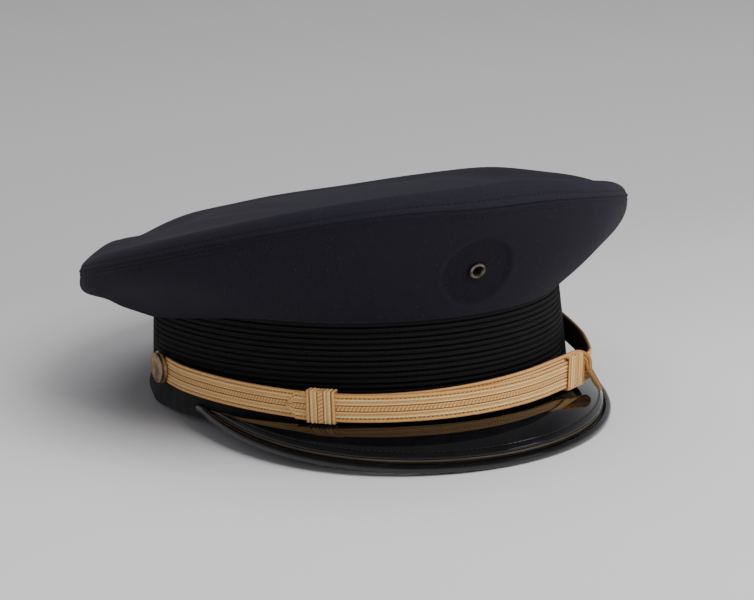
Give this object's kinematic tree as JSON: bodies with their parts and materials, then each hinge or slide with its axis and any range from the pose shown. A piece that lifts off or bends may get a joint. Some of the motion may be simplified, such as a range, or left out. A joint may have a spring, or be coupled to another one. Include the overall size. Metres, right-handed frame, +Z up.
{
  "type": "peaked cap",
  "caption": "Peaked service cap with a stiff banded frame, flared crown, glossy visor and a lace chin strap on side buttons with sliding keepers.",
  "frame": {"origin": "bottom centre of the cap's box, on the table that the cap rests on", "axes": "+Z up, -Y towards the visor and the front of the head, +X towards the wearer's left; the cap lies as on a table, on the visor's tip and the band's back edge, so its band is tilted 3.9 degrees up at the front"},
  "size_m": [0.2445, 0.2736, 0.1168],
  "materials": {
    "crown_cloth": "dark navy wool-blend twill, matt",
    "lining_cloth": "plain black lining cloth",
    "spring_steel": "blued spring steel",
    "fibre_board": "pressed fibre board",
    "eyelet_metal": "darkened nickel",
    "braid_cloth": "black ribbed mohair braid",
    "edge_cloth": "plain black cloth",
    "sweat_leather": "brown sheepskin",
    "patent_black": "black patent, mirror gloss",
    "visor_lining": "black grained lining",
    "gold_lace": "tan-gold metallic lace",
    "strap_backing": "dark brown leather",
    "button_brass": "aged brass",
    "pin_steel": "bright steel"
  },
  "bodies": {
    "cap": {"crown_top_panel": "crown_cloth", "crown_side_panel": "crown_cloth", "crown_welt": "crown_cloth", "crown_lining": "lining_cloth", "grommet_ring": "spring_steel", "grommet_ferrule": "spring_steel", "front_stay": "spring_steel", "badge_backing_disc": "fibre_board", "badge_eyelet": "eyelet_metal", "badge_eyelet_washer": "eyelet_metal", "braid_band": "braid_cloth", "band_frame": "fibre_board", "band_edge_roll": "edge_cloth", "sweatband": "sweat_leather", "sweatband_tape": "edge_cloth", "sweatband_joint_patch": "sweat_leather", "visor_top": "patent_black", "visor_core": "fibre_board", "visor_underside": "visor_lining", "visor_edge_strip": "patent_black", "visor_edge_bead": "patent_black", "visor_flange": "fibre_board", "right_button_washer": "pin_steel", "left_button_washer": "pin_steel"},
    "chin_strap": {"strap_right": "gold_lace", "strap_right_lining": "strap_backing", "strap_left": "gold_lace", "strap_left_lining": "strap_backing"},
    "right_button": {"right_button_shell": "button_brass", "right_button_back": "button_brass", "right_button_post": "button_brass", "right_button_retaining_pin": "pin_steel"},
    "left_button": {"left_button_shell": "button_brass", "left_button_back": "button_brass", "left_button_post": "button_brass", "left_button_retaining_pin": "pin_steel"},
    "right_keeper": {"keeper_right": "gold_lace"},
    "left_keeper": {"keeper_left": "gold_lace"}
  },
  "joints": [
    {"name": "chin_strap_swing", "type": "hinge", "parent": "cap", "child": "chin_strap", "pos_m": [0, 0.0145, 0.01984], "axis": [-1, 0, 0], "range_deg": [0, 8]},
    {"name": "right_keeper_slide", "type": "hinge", "parent": "chin_strap", "child": "right_keeper", "pos_m": [0, -0.03108, 0.02114], "axis": [0, 0.0285, 0.9996], "range_deg": [0, 22]},
    {"name": "left_keeper_slide", "type": "slide", "parent": "chin_strap", "child": "left_keeper", "axis": [-0.891, -0.4538, 0.0129], "range_m": [0, 0.012]},
    {"name": "right_button_spin", "type": "hinge", "parent": "cap", "child": "right_button", "pos_m": [-0.094, 0.0145, 0.01984], "axis": [1, 0, 0], "continuous": true},
    {"name": "left_button_spin", "type": "hinge", "parent": "cap", "child": "left_button", "pos_m": [0.094, 0.0145, 0.01984], "axis": [1, 0, 0], "continuous": true}
  ]
}
